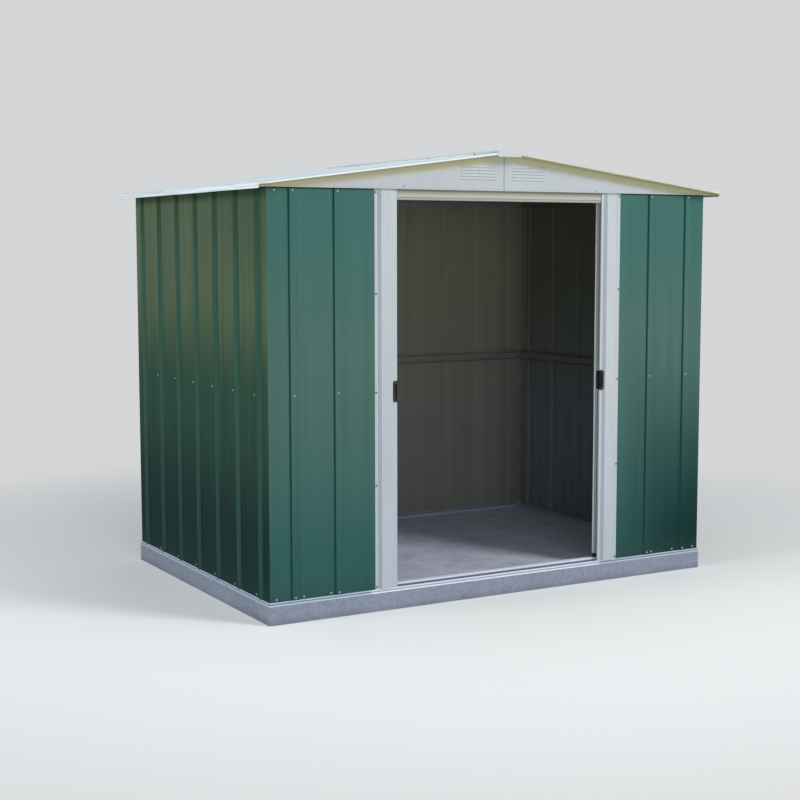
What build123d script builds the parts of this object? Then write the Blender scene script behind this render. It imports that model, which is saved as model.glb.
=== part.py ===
from build123d import *
import os
from math import cos, radians, sin, tan

# Metal storage shed with a low gable roof and two sliding doors, in millimetres.
# +Z is up and the front faces -Y. The origin is the middle of the underside of the concrete base.
# Heights named z_ are measured from the ground, depths named y_ are places along Y.

# Walls, over the flat faces of the sheets
wall_width = 2356
wall_depth = 1573
wall_height = 1760
sheet = 2                  # thickness of the formed sheets

# Pressed ribs of the wall sheets
rib_base = 40
rib_top = 29
rib_height = 6
left_corner_rib = 120      # ribs of the front left of the doorway, from the corner
left_inner_rib = 331
right_corner_rib = 99      # and right of it
right_inner_rib = 323
rear_rib_edge = 111        # first rib of the rear, from the corner
side_rib_top = 11
side_rib_height = 8
side_rib_edge = 90.5       # first rib of the sides, from the corner
side_rib_count = 7
rear_rib_count = 11
lap = 4                    # sheet beyond the rib at a seam

# Concrete base and floor rails
slab_height = 82
rail_height = 17
rail_proud = 6             # rails and base beyond the wall faces
rail_ledge = 12            # ledge that the sheets stand on
rail_inner = 46            # rail inwards of the wall face
rail_lip = 15
groove_low = 7             # groove along the face of the rails, above their foot
groove_high = 12
groove_depth = 3
groove_run = 1
guide_rib_rise = 13        # door guide ribs above the rail's ledge

# Doors
door_corner_gap = 47       # trailing edge of an open door from the side wall
door_thickness = 16
door_setback = 27          # front of the doors behind the wall face
door_gap = 5               # running clearance round the doors
stile_width = 30
door_rib_pitch = 217
guide_width = 10           # tongue between the guide ribs
guide_drop = 17
guide_block_height = 14    # block that the tongue hangs from, at the foot of a stile
hanger_length = 40
hanger_inset = 60          # middle of a hanger from the door's edge

# Door surround
jamb_outer = 512           # outer edge of a jamb from the corner of the walls
jamb_width = 111
jamb_lip = 14
jamb_flank = 16
jamb_rise = 7
jamb_return = 6
jamb_lap = 60              # front sheet running on behind the jamb

# Handles, at mid height on the leading stiles, each in a notch of its jamb when the door is open
handle_width = 17
handle_front = 8           # in front of the wall face
handle_height = 86
handle_middle = 876        # above the bottom of the walls
handle_round = 6           # corners away from the opening
handle_edge = 1            # behind the door's leading edge
handle_rim = 3             # between the finger recess and the handle's leading edge
recess_width = 7
recess_height = 66
recess_depth = 12
edge_round = 1

# Header with the door track
header_height = 46
header_lip = 6
track_inside = 34
track_slot = 16
track_ledge = 2
track_rise = 6             # underside of the track above the bottom of the header
hanger_head = 24
hanger_head_height = 14
hanger_neck = 6
seat_gap = 0.3             # between a hanger and the ledges that carry it

# Roof
roof_pitch = 7.4
eave_lift = 13             # underside of the roof above the walls, at the wall face
eave_overhang = 55
gable_overhang = 53
roof_rib_height = 15
roof_rib_base = 34
roof_rib_top = 18
roof_rib_count = 7         # inner ribs, between the two verges
verge_height = 10
verge_width = 14
verge_run = 6

fascia_rise = 8            # top of the eave trim above the underside of the roof
fascia_drop = 9            # foot of the eave trim below the top of the walls

# Gables
gable_proud = 6
gable_flange = 14          # foot of the gable, inwards of the wall face
gable_hem = 5

# Louvres of the gables, in two columns on each half
louvre_width = 88
louvre_height = 9
louvre_hood = 4            # foot of a hood in front of the gable
louvre_rows = 5
louvre_pitch = 13.6
louvre_low = 49            # lowest louvre above the foot of the gable
louvre_inner = 47          # first column from the middle of the gable
louvre_gap = 4             # between the columns

# Ridge cap
cap_width = 125
cap_skirt = 2
cap_arch = 8
notch_room = 1             # between the notched skirts and the ribs
cap_end_drop = 16          # end plates below the ridge line

# Inner framing
top_rail_height = 28
top_rail_width = 30
middle_rail_height = 40
middle_rail_width = 28
front_middle_depth = 12
framing_gap = 4
beam_width = 60
beam_height = 35

# Worked-out places
half_width = wall_width / 2
half_depth = wall_depth / 2
base_half_width = half_width + rail_proud
base_half_depth = half_depth + rail_proud
z_floor = slab_height
z_wall = slab_height + rail_height
z_eave = z_wall + wall_height
roof_slope = tan(radians(roof_pitch))
z_ridge = z_eave + eave_lift + half_width * roof_slope
roof_half_depth = half_depth + gable_overhang
roof_edge = half_width + eave_overhang
rear_rib_pitch = (wall_width - 2 * rear_rib_edge) / (rear_rib_count - 1)
side_rib_pitch = (wall_depth - 2 * side_rib_edge) / (side_rib_count - 1)
seam = rib_base / 2 + lap
side_leg = side_rib_edge + seam
opening_edge = half_width - jamb_outer - jamb_width     # inner edge of a jamb from the middle
door_width = jamb_outer + jamb_width + handle_edge - door_corner_gap
y_door = -half_depth + door_setback
y_door_middle = y_door + door_thickness / 2
z_handle = z_wall + handle_middle
z_header = z_eave - header_height
z_track = z_header + track_rise
z_door_bottom = z_wall + guide_rib_rise + door_gap
z_door_top = z_track - door_gap
guide_rib_near = y_door_middle + half_depth - guide_width / 2 - door_gap
guide_rib_far = y_door_middle + half_depth + guide_width / 2 + door_gap


def roof_underside(x):
    # height of the underside of the roof sheets at a distance x from the ridge
    return z_ridge - abs(x) * roof_slope


# Planes with X along a wall and Y pointing out of it, for sheets that are extruded up or down
front_plane = Plane(origin=(0, -half_depth, z_eave), x_dir=(1, 0, 0), z_dir=(0, 0, -1))
rear_plane = Plane(origin=(0, half_depth, z_wall), x_dir=(1, 0, 0), z_dir=(0, 0, 1))
left_plane = Plane(origin=(-half_width, 0, z_wall), x_dir=(0, 1, 0), z_dir=(0, 0, 1))
right_plane = Plane(origin=(half_width, 0, z_eave), x_dir=(0, 1, 0), z_dir=(0, 0, -1))


def finish(builder, name):
    builder.part.label = name
    export_step(builder.part, f"parts/{name}.step")


def ribbed_outline(first, last, ribs, top=rib_top, height=rib_height):
    # plan of a sheet from first to last with a pressed rib at each place in ribs
    outer = [(first, 0)]
    for place in ribs:
        outer.append((place - rib_base / 2, 0))
        outer.append((place - top / 2, height))
        outer.append((place + top / 2, height))
        outer.append((place + rib_base / 2, 0))
    outer.append((last, 0))
    inner = [(along, out - sheet) for along, out in reversed(outer)]
    return outer + inner


def wall_sheet(name, plane, first, last, ribs, top=rib_top, height=rib_height):
    with BuildPart() as wall:
        with BuildSketch(plane):
            with BuildLine():
                Polyline(*ribbed_outline(first, last, ribs, top, height), close=True)
            make_face()
        extrude(amount=wall_height)
    finish(wall, name)


def profile(outline, plane, length):
    # a section drawn as a closed outline and drawn out to its length
    with BuildPart() as made:
        with BuildSketch(plane):
            with BuildLine():
                Polyline(*outline, close=True)
            make_face()
        extrude(amount=length)
    return made.part


os.makedirs("parts", exist_ok=True)

# Concrete base, which is also the floor
with BuildPart() as base_slab:
    with BuildSketch():
        Rectangle(2 * base_half_width, 2 * base_half_depth)
    extrude(amount=slab_height)
finish(base_slab, "base_slab")

# Floor rails, mitred at the corners. The section has X out of the wall and Y up.
groove_face = rail_proud - groove_depth
rail_section = [
    (rail_proud, 0),
    (rail_proud, groove_low),
    (groove_face, groove_low + groove_run),
    (groove_face, groove_high - groove_run),
    (rail_proud, groove_high),
    (rail_proud, rail_height),
    (rail_proud - rail_ledge, rail_height),
    (rail_proud - rail_ledge, rail_height - sheet),
    (rail_proud - sheet, rail_height - sheet),
    (rail_proud - sheet, groove_high),
    (groove_face - sheet, groove_high - groove_run),
    (groove_face - sheet, groove_low + groove_run),
    (rail_proud - sheet, groove_low),
    (rail_proud - sheet, sheet),
]
side_section = rail_section + [
    (sheet - rail_inner, sheet),
    (sheet - rail_inner, rail_lip),
    (-rail_inner, rail_lip),
    (-rail_inner, 0),
]
guide_rib_height = rail_height + guide_rib_rise
sill_section = rail_section + [
    (sheet - guide_rib_near, sheet),
    (sheet - guide_rib_near, guide_rib_height),
    (-guide_rib_near, guide_rib_height),
    (-guide_rib_near, sheet),
    (-guide_rib_far, sheet),
    (-guide_rib_far, guide_rib_height),
    (-guide_rib_far - sheet, guide_rib_height),
    (-guide_rib_far - sheet, 0),
]
front_rail_plane = Plane(origin=(base_half_width, -half_depth, z_floor), x_dir=(0, -1, 0), z_dir=(-1, 0, 0))
rear_rail_plane = Plane(origin=(-base_half_width, half_depth, z_floor), x_dir=(0, 1, 0), z_dir=(1, 0, 0))
left_rail_plane = Plane(origin=(-half_width, -base_half_depth, z_floor), x_dir=(-1, 0, 0), z_dir=(0, 1, 0))
right_rail_plane = Plane(origin=(half_width, base_half_depth, z_floor), x_dir=(1, 0, 0), z_dir=(0, -1, 0))


def floor_rail(name, section, plane, length):
    with BuildPart() as rail:
        with BuildSketch(plane):
            with BuildLine():
                Polyline(*section, close=True)
            make_face()
        extrude(amount=length)
        for end, way in ((0, 1), (length, -1)):
            corner = plane.from_local_coords((rail_proud, 0, end))
            split(bisect_by=Plane(origin=corner, z_dir=plane.x_dir + plane.z_dir * way), keep=Keep.TOP)
    finish(rail, name)


floor_rail("front_floor_rail", sill_section, front_rail_plane, 2 * base_half_width)
floor_rail("rear_floor_rail", side_section, rear_rail_plane, 2 * base_half_width)
floor_rail("left_floor_rail", side_section, left_rail_plane, 2 * base_half_depth)
floor_rail("right_floor_rail", side_section, right_rail_plane, 2 * base_half_depth)

# Corner panels, folded round the corner, with the outermost rib of each wall
corner_plane = Plane(origin=(-half_width, -half_depth, z_wall))


def corner_panel(rib_edge):
    # the panel in its place at the front left, with its front rib that far from the corner
    front = [
        (rib_edge + seam, 0, 1),
        (rib_edge + rib_base / 2, 0, 1),
        (rib_edge + rib_top / 2, -rib_height, 1),
        (rib_edge - rib_top / 2, -rib_height, 1),
        (rib_edge - rib_base / 2, 0, 1),
    ]
    side = [
        (0, side_rib_edge - rib_base / 2, 0),
        (-side_rib_height, side_rib_edge - side_rib_top / 2, 0),
        (-side_rib_height, side_rib_edge + side_rib_top / 2, 0),
        (0, side_rib_edge + rib_base / 2, 0),
        (0, side_leg, 0),
    ]
    inner = [(u + sheet * (1 - on_front), v + sheet * on_front) for u, v, on_front in reversed(front + side)]
    inner.insert(len(side), (sheet, sheet))
    outer = [(u, v) for u, v, _ in front] + [(0, 0)] + [(u, v) for u, v, _ in side]
    return profile(outer + inner, corner_plane, wall_height)


with BuildPart() as front_left_corner:
    add(corner_panel(left_corner_rib))
finish(front_left_corner, "front_left_corner")

with BuildPart() as front_right_corner:
    mirror(corner_panel(right_corner_rib), about=Plane.YZ)
finish(front_right_corner, "front_right_corner")

with BuildPart() as rear_left_corner:
    mirror(corner_panel(rear_rib_edge), about=Plane.XZ)
finish(rear_left_corner, "rear_left_corner")

with BuildPart() as rear_right_corner:
    mirror(rear_left_corner.part, about=Plane.YZ)
finish(rear_right_corner, "rear_right_corner")

# Wall sheets between the corner panels
front_end = half_width - jamb_outer - jamb_lap
left_start = half_width - left_corner_rib - seam
right_start = half_width - right_corner_rib - seam
wall_sheet("front_left_wall", front_plane, -left_start, -front_end, [left_inner_rib - half_width])
wall_sheet("front_right_wall", front_plane, front_end, right_start, [half_width - right_inner_rib])

side_ribs = [side_rib_pitch * step for step in range(-(side_rib_count // 2) + 1, side_rib_count // 2)]
side_end = half_depth - side_leg
for side, plane in (("left", left_plane), ("right", right_plane)):
    near_ribs = [rib for rib in side_ribs if rib <= 0]
    far_ribs = [rib for rib in side_ribs if rib > 0]
    wall_sheet(f"{side}_wall_front", plane, -side_end, seam, near_ribs, side_rib_top, side_rib_height)
    wall_sheet(f"{side}_wall_rear", plane, seam, side_end, far_ribs, side_rib_top, side_rib_height)

rear_ribs = [rear_rib_pitch * step for step in range(-(rear_rib_count // 2) + 1, rear_rib_count // 2)]
rear_end = half_width - rear_rib_edge - seam
wall_sheet("rear_wall_left", rear_plane, -rear_end, seam, [rib for rib in rear_ribs if rib <= 0])
wall_sheet("rear_wall_right", rear_plane, seam, rear_end, [rib for rib in rear_ribs if rib > 0])

# Door jambs: a raised band between two lips, with a return at the opening and a notch for the handle
band_start = jamb_lip + jamb_flank
band_end = jamb_width - band_start
jamb_outline = [
    (0, sheet),
    (jamb_lip, sheet),
    (band_start, sheet + jamb_rise),
    (band_end, sheet + jamb_rise),
    (jamb_width - jamb_lip, sheet),
    (jamb_width, sheet),
    (jamb_width, -jamb_return),
    (jamb_width - sheet, -jamb_return),
    (jamb_width - sheet, 0),
    (jamb_width - jamb_lip, 0),
    (band_end, jamb_rise),
    (band_start, jamb_rise),
    (jamb_lip, 0),
    (0, 0),
]
elevation = Plane(origin=(0, -half_depth, 0), x_dir=(1, 0, 0), z_dir=(0, -1, 0))
jamb_plane = Plane(origin=(jamb_outer - half_width, -half_depth, z_eave), x_dir=(1, 0, 0), z_dir=(0, 0, -1))
notch_width = handle_width + handle_edge + door_gap
notch_reach = jamb_rise + sheet + jamb_return + door_gap
with BuildPart() as left_door_jamb:
    with BuildSketch(jamb_plane):
        with BuildLine():
            Polyline(*jamb_outline, close=True)
        make_face()
    extrude(amount=wall_height)
    with BuildSketch(elevation):
        with Locations((-opening_edge, z_handle)):
            RectangleRounded(2 * notch_width, handle_height + 2 * door_gap, handle_round + door_gap)
    extrude(amount=notch_reach, both=True, mode=Mode.SUBTRACT)
    with Locations((-opening_edge, -half_depth, z_eave)):
        Box(2 * jamb_lip, jamb_return, 2 * header_height, align=(Align.CENTER, Align.MIN, Align.CENTER),
            mode=Mode.SUBTRACT)
finish(left_door_jamb, "left_door_jamb")

with BuildPart() as right_door_jamb:
    mirror(left_door_jamb.part, about=Plane.YZ)
finish(right_door_jamb, "right_door_jamb")

# Header: a fascia across the front and the channel that the doors hang in. X goes inwards, Y up.
track_middle = door_setback + door_thickness / 2
track_near = track_middle - track_inside / 2
track_far = track_middle + track_inside / 2
slot_near = track_middle - track_slot / 2
slot_far = track_middle + track_slot / 2
track_top = header_height - sheet
header_section = [
    (sheet, 0),
    (sheet + header_lip, 0),
    (sheet + header_lip, sheet),
    (2 * sheet, sheet),
    (2 * sheet, track_top),
    (track_near - sheet, track_top),
    (track_near - sheet, track_rise),
    (slot_near, track_rise),
    (slot_near, track_rise + track_ledge),
    (track_near, track_rise + track_ledge),
    (track_near, track_top),
    (track_far, track_top),
    (track_far, track_rise + track_ledge),
    (slot_far, track_rise + track_ledge),
    (slot_far, track_rise),
    (track_far + sheet, track_rise),
    (track_far + sheet, header_height),
    (sheet, header_height),
]
header_end = half_width - sheet
header_plane = Plane(origin=(-header_end, -half_depth, z_header), x_dir=(0, 1, 0), z_dir=(1, 0, 0))
with BuildPart() as door_header:
    add(profile(header_section, header_plane, 2 * header_end))
finish(door_header, "door_header")

# Gables: each in two halves that meet under the ridge and close the ends of the eaves.
# Their feet sit on the walls.
y_gable = -half_depth - gable_proud
gable_plane = Plane(origin=(0, y_gable + sheet, 0), x_dir=(1, 0, 0), z_dir=(0, -1, 0))
louvre_places = [
    (-louvre_inner - louvre_width / 2 - column * (louvre_width + louvre_gap), z_eave + louvre_low + row * louvre_pitch)
    for column in range(2)
    for row in range(louvre_rows)
]
hood_section = [(0, louvre_height), (louvre_hood, 0), (louvre_hood - sheet, 0), (-sheet, louvre_height)]
cheek_section = [(0, louvre_height), (louvre_hood, 0), (-sheet, 0), (-sheet, louvre_height)]


def louvre_plane(x):
    # X of the sketch points out of the gable and Y up
    return Plane(origin=(x, 0, 0), x_dir=(0, -1, 0), z_dir=(-1, 0, 0))


with BuildPart() as hood:
    add(profile(hood_section, louvre_plane(louvre_width / 2), louvre_width))
    add(profile(cheek_section, louvre_plane(louvre_width / 2), sheet))
    add(profile(cheek_section, louvre_plane(sheet - louvre_width / 2), sheet))

with BuildPart() as front_gable_left:
    with BuildSketch(gable_plane):
        with BuildLine():
            Polyline(
                (0, z_eave),
                (0, z_ridge),
                (-roof_edge, roof_underside(roof_edge)),
                (-roof_edge, z_eave),
                close=True,
            )
        make_face()
    extrude(amount=sheet)
    with BuildSketch(Plane.XY.offset(z_eave)):
        with Locations((-roof_edge, y_gable)):
            Rectangle(roof_edge, gable_proud + gable_flange, align=(Align.MIN, Align.MIN))
    extrude(amount=sheet)
    with BuildSketch(Plane.XY.offset(z_eave)):
        with Locations((-roof_edge, y_gable)):
            Rectangle(roof_edge, sheet, align=(Align.MIN, Align.MAX))
    extrude(amount=gable_hem)
    with BuildSketch(gable_plane):
        with Locations(*[(x, z + louvre_height / 2) for x, z in louvre_places]):
            Rectangle(louvre_width, louvre_height)
    extrude(amount=sheet, mode=Mode.SUBTRACT)
    with Locations(*[(x, y_gable, z) for x, z in louvre_places]):
        add(hood.part)
finish(front_gable_left, "front_gable_left")

with BuildPart() as front_gable_right:
    mirror(front_gable_left.part, about=Plane.YZ)
finish(front_gable_right, "front_gable_right")

with BuildPart() as rear_gable_left:
    mirror(front_gable_left.part, about=Plane.XZ)
finish(rear_gable_left, "rear_gable_left")

with BuildPart() as rear_gable_right:
    mirror(rear_gable_left.part, about=Plane.YZ)
finish(rear_gable_right, "rear_gable_right")

# Top rails inside the walls. Those of the sides rise to the roof, and their top flange follows it.
rail_web = half_width - sheet
rail_inside = rail_web - top_rail_width
top_rail_section = [
    (-rail_web, z_eave - top_rail_height),
    (-rail_web, roof_underside(rail_web)),
    (-rail_inside, roof_underside(rail_inside)),
    (-rail_inside, roof_underside(rail_inside) - sheet),
    (sheet - rail_web, roof_underside(rail_web - sheet) - sheet),
    (sheet - rail_web, z_eave - top_rail_height + sheet),
    (-rail_inside, z_eave - top_rail_height + sheet),
    (-rail_inside, z_eave - top_rail_height),
]
y_rail_front = -half_depth + track_far + sheet + framing_gap
y_rail_rear = half_depth - gable_flange
section_plane = Plane(origin=(0, y_rail_rear, 0), x_dir=(1, 0, 0), z_dir=(0, -1, 0))
rear_rail_end = rail_inside - framing_gap
with BuildPart() as top_rails:
    add(profile(top_rail_section, section_plane, y_rail_rear - y_rail_front))
    mirror(about=Plane.YZ)
    with BuildSketch(Plane(origin=(-rear_rail_end, half_depth, 0), x_dir=(0, 1, 0), z_dir=(1, 0, 0))):
        with BuildLine():
            Polyline(
                (-sheet, z_eave - top_rail_height),
                (-sheet, z_eave),
                (-sheet - top_rail_width, z_eave),
                (-sheet - top_rail_width, z_eave - sheet),
                (-2 * sheet, z_eave - sheet),
                (-2 * sheet, z_eave - top_rail_height),
                close=True,
            )
        make_face()
    extrude(amount=2 * rear_rail_end)
finish(top_rails, "top_rails")

# Middle rails: channels across the ribs at half height, round the inside of the walls
z_middle_low = z_handle - middle_rail_height / 2


def middle_rail(depth):
    # section of a channel whose web lies on a sheet at 0 and whose flanges reach inwards
    return [
        (0, 0),
        (depth, 0),
        (depth, sheet),
        (sheet, sheet),
        (sheet, middle_rail_height - sheet),
        (depth, middle_rail_height - sheet),
        (depth, middle_rail_height),
        (0, middle_rail_height),
    ]


side_rail_plane = Plane(origin=(-rail_web, half_depth - sheet, z_middle_low), x_dir=(1, 0, 0), z_dir=(0, -1, 0))
cross_end = rail_web - middle_rail_width - framing_gap
front_rail_end = opening_edge + jamb_width - jamb_lip
front_cross_plane = Plane(origin=(-cross_end, sheet - half_depth, z_middle_low), x_dir=(0, 1, 0), z_dir=(1, 0, 0))
rear_cross_plane = Plane(origin=(cross_end, half_depth - sheet, z_middle_low), x_dir=(0, -1, 0), z_dir=(-1, 0, 0))
with BuildPart() as middle_rails:
    add(profile(middle_rail(middle_rail_width), side_rail_plane, wall_depth - 2 * sheet))
    add(profile(middle_rail(front_middle_depth), front_cross_plane, cross_end - front_rail_end))
    mirror(about=Plane.YZ)
    add(profile(middle_rail(middle_rail_width), rear_cross_plane, 2 * cross_end))
finish(middle_rails, "middle_rails")

# Roof beams between the gables: one under the ridge and one under the middle of each slope
beam_half = beam_width / 2
beam_plane = Plane(origin=(0, half_depth + gable_proud - sheet, 0), x_dir=(1, 0, 0), z_dir=(0, -1, 0))
beam_length = wall_depth + 2 * (gable_proud - sheet)
beam_foot = roof_underside(beam_half) - beam_height
ridge_section = [
    (-beam_half, beam_foot),
    (-beam_half, roof_underside(beam_half)),
    (0, z_ridge),
    (beam_half, roof_underside(beam_half)),
    (beam_half, beam_foot),
    (beam_half - sheet, beam_foot),
    (beam_half - sheet, roof_underside(beam_half - sheet) - sheet),
    (0, z_ridge - sheet),
    (sheet - beam_half, roof_underside(beam_half - sheet) - sheet),
    (sheet - beam_half, beam_foot),
]
with BuildPart() as ridge_beam:
    add(profile(ridge_section, beam_plane, beam_length))
finish(ridge_beam, "ridge_beam")

beam_out = -half_width / 2 - beam_half
beam_in = -half_width / 2 + beam_half
beam_low = roof_underside(beam_out) - beam_height
slope_section = [
    (beam_out, beam_low),
    (beam_out, roof_underside(beam_out)),
    (beam_in, roof_underside(beam_in)),
    (beam_in, beam_low),
    (beam_in - sheet, beam_low),
    (beam_in - sheet, roof_underside(beam_in - sheet) - sheet),
    (beam_out + sheet, roof_underside(beam_out + sheet) - sheet),
    (beam_out + sheet, beam_low),
]
with BuildPart() as roof_beams:
    add(profile(slope_section, beam_plane, beam_length))
    mirror(about=Plane.YZ)
finish(roof_beams, "roof_beams")

# Roof sheets, two to a slope, ribbed down the slope, with an upstand along the verge.
# Their section has X from front to rear and Y out of the slope.
roof_rib_pitch = 2 * roof_half_depth / (roof_rib_count + 1)
roof_ribs = [roof_rib_pitch * step for step in range(-(roof_rib_count // 2), roof_rib_count // 2 + 1)]
slope_length = (roof_edge - roof_rib_height * sin(radians(roof_pitch))) / cos(radians(roof_pitch))
slope_plane = Plane(
    origin=(0, 0, z_ridge),
    x_dir=(0, -1, 0),
    z_dir=(-cos(radians(roof_pitch)), 0, -sin(radians(roof_pitch))),
)


def roof_outline(ribs, seam):
    # from the verge at -roof_half_depth to the seam
    outer = [
        (-roof_half_depth, verge_height),
        (verge_width - roof_half_depth, verge_height),
        (verge_width + verge_run - roof_half_depth, sheet),
    ]
    for place in ribs:
        outer.append((place - roof_rib_base / 2, sheet))
        outer.append((place - roof_rib_top / 2, roof_rib_height))
        outer.append((place + roof_rib_top / 2, roof_rib_height))
        outer.append((place + roof_rib_base / 2, sheet))
    outer.append((seam, sheet))
    inner = [(along, out - sheet) for along, out in reversed(outer[1:])]
    return outer + inner + [(sheet - roof_half_depth, verge_height - sheet), (sheet - roof_half_depth, 0),
                            (-roof_half_depth, 0)]


def rib_end(place):
    # plate that closes a rib at the eave
    section = [
        (place - roof_rib_base / 2, 0),
        (place - roof_rib_top / 2, roof_rib_height - sheet),
        (place + roof_rib_top / 2, roof_rib_height - sheet),
        (place + roof_rib_base / 2, 0),
    ]
    return profile(section, slope_plane.offset(slope_length - sheet), sheet)


roof_lap = roof_rib_base / 2 + lap
rear_ribs = [rib for rib in roof_ribs if rib <= 0]
with BuildPart() as left_roof_rear:
    add(profile(roof_outline(rear_ribs, roof_lap), slope_plane, slope_length))
    for rib in rear_ribs:
        add(rib_end(rib))
finish(left_roof_rear, "left_roof_rear")

front_ribs = [rib for rib in roof_ribs if rib < 0]
front_outline = [(-along, out) for along, out in roof_outline(front_ribs, -roof_lap)]
with BuildPart() as left_roof_front:
    add(profile(front_outline, slope_plane, slope_length))
    for rib in front_ribs:
        add(rib_end(-rib))
finish(left_roof_front, "left_roof_front")

for row, made in (("front", left_roof_front), ("rear", left_roof_rear)):
    with BuildPart() as right_roof:
        mirror(made.part, about=Plane.YZ)
    finish(right_roof, f"right_roof_{row}")

# Eave trims: a fascia over the ends of the roof sheets and a soffit back to the wall
eave_outer = roof_edge + sheet
fascia_top = roof_underside(roof_edge) + fascia_rise
eave_section = [
    (-eave_outer, z_eave - fascia_drop),
    (-eave_outer, fascia_top),
    (-roof_edge, fascia_top),
    (-roof_edge, z_eave + sheet),
    (sheet - half_width, z_eave + sheet),
    (sheet - half_width, z_eave),
    (-roof_edge, z_eave),
    (-roof_edge, z_eave - fascia_drop),
]
eave_plane = Plane(origin=(0, roof_half_depth, 0), x_dir=(1, 0, 0), z_dir=(0, -1, 0))
with BuildPart() as left_eave_trim:
    add(profile(eave_section, eave_plane, 2 * roof_half_depth))
    soffit_end = gable_overhang + gable_flange
    for way in (-1, 1):
        with Locations((-roof_edge, way * (roof_half_depth - soffit_end / 2), z_eave)):
            Box(2 * eave_overhang + 2 * gable_flange, soffit_end, 2 * sheet,
                align=(Align.MIN, Align.CENTER, Align.CENTER), mode=Mode.SUBTRACT)
finish(left_eave_trim, "left_eave_trim")

with BuildPart() as right_eave_trim:
    mirror(left_eave_trim.part, about=Plane.YZ)
finish(right_eave_trim, "right_eave_trim")

# Ridge cap on the roof ribs, with its skirts notched over them, closed by a plate at each end
cap_half = cap_width / 2
cap_pan = roof_underside(cap_half - sheet) + seat_gap
cap_foot = cap_pan + roof_rib_height / cos(radians(roof_pitch))
cap_low = cap_pan + sheet / cos(radians(roof_pitch))
verge_notch = verge_height / cos(radians(roof_pitch))
cap_plane = Plane(origin=(0, roof_half_depth, 0), x_dir=(1, 0, 0), z_dir=(0, -1, 0))


def cap_line(half, foot, top):
    # a flat-footed outline with upright sides and an arched top
    Polyline((-half, top), (-half, foot), (half, foot), (half, top))
    ThreePointArc((half, top), (0, top + cap_arch), (-half, top))


with BuildPart() as ridge_cap:
    with BuildSketch(cap_plane):
        with BuildLine():
            cap_line(cap_half, cap_low, cap_foot + cap_skirt)
        make_face()
        with BuildLine():
            cap_line(cap_half - sheet, cap_low, cap_foot + cap_skirt - sheet)
        make_face(mode=Mode.SUBTRACT)
    extrude(amount=2 * roof_half_depth)
    with Locations(*[(0, rib, cap_foot) for rib in roof_ribs]):
        Box(cap_width, roof_rib_base + notch_room, 2 * (cap_foot - cap_low), mode=Mode.SUBTRACT,
            align=(Align.CENTER, Align.CENTER, Align.MAX))
    verge_end = verge_width + verge_run + notch_room
    with Locations((0, -roof_half_depth, cap_pan + verge_notch), (0, roof_half_depth, cap_pan + verge_notch)):
        Box(cap_width, 2 * verge_end, 2 * verge_notch, mode=Mode.SUBTRACT,
            align=(Align.CENTER, Align.CENTER, Align.MAX))
finish(ridge_cap, "ridge_cap")

with BuildPart() as ridge_end_caps:
    with BuildSketch(Plane(origin=(0, -roof_half_depth, 0), x_dir=(1, 0, 0), z_dir=(0, -1, 0))):
        with BuildLine():
            cap_line(cap_half, z_ridge - cap_end_drop, cap_foot + cap_skirt)
        make_face()
    extrude(amount=sheet)
    mirror(about=Plane.XZ)
finish(ridge_end_caps, "ridge_end_caps")

# Doors, modelled open. The left one is built and the right one mirrored.
door_lead = -opening_edge - handle_edge
door_trail = door_lead - door_width
door_middle = (door_lead + door_trail) / 2
y_door_back = y_door + door_thickness
panel_end = stile_width - 2 * sheet


def stile_section(web, way):
    # a channel that opens towards the panel: web at its outer edge, flanges running the other way
    return [
        (web, y_door),
        (web + way * stile_width, y_door),
        (web + way * stile_width, y_door + sheet),
        (web + way * sheet, y_door + sheet),
        (web + way * sheet, y_door_back - sheet),
        (web + way * stile_width, y_door_back - sheet),
        (web + way * stile_width, y_door_back),
        (web, y_door_back),
    ]


def rail_outline(web, way):
    # the same channel lying down, with Y of the sketch up
    return [(depth, height) for height, depth in stile_section(web, way)]


z_stile_foot = z_door_bottom + guide_block_height
stile_plane = Plane.XY.offset(z_stile_foot)
with BuildPart() as left_door_stiles:
    add(profile(stile_section(door_lead, -1), stile_plane, z_door_top - z_stile_foot))
    add(profile(stile_section(door_trail, 1), stile_plane, z_door_top - z_stile_foot))

rail_plane = Plane(origin=(door_trail + stile_width, 0, 0), x_dir=(0, 1, 0), z_dir=(1, 0, 0))
with BuildPart() as left_door_rails:
    add(profile(rail_outline(z_door_bottom, 1), rail_plane, door_width - 2 * stile_width))
    add(profile(rail_outline(z_door_top, -1), rail_plane, door_width - 2 * stile_width))

# Door sheet, behind the front flanges of the stiles and rails, with its ribs pressed inwards
panel_plane = Plane(origin=(door_middle, y_door + 2 * sheet, z_door_bottom + sheet), x_dir=(-1, 0, 0), z_dir=(0, 0, 1))
panel_half = door_width / 2 - sheet
with BuildPart() as left_door_panel:
    with BuildSketch(panel_plane):
        with BuildLine():
            panel_outline = ribbed_outline(-panel_half, panel_half, [-door_rib_pitch / 2, door_rib_pitch / 2])
            Polyline(*[(along, -out) for along, out in panel_outline], close=True)
        make_face()
    extrude(amount=z_door_top - z_door_bottom - 2 * sheet)

y_handle = -half_depth - handle_front
handle_lead = door_lead - handle_edge
with BuildPart() as left_door_handle:
    with BuildSketch(Plane(origin=(0, y_door, 0), x_dir=(1, 0, 0), z_dir=(0, -1, 0))) as handle_shape:
        with Locations((handle_lead - handle_width / 2, z_handle)):
            Rectangle(handle_width, handle_height)
        fillet(handle_shape.vertices().sort_by(Axis.X)[:2], radius=handle_round)
    extrude(amount=y_door - y_handle)
    with BuildSketch(Plane(origin=(0, y_handle, 0), x_dir=(1, 0, 0), z_dir=(0, -1, 0))):
        with Locations((handle_lead - handle_rim - recess_width / 2, z_handle)):
            Rectangle(recess_width, recess_height)
    extrude(amount=-recess_depth, mode=Mode.SUBTRACT)
    fillet(left_door_handle.edges().group_by(Axis.Y)[0], radius=edge_round)

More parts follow.
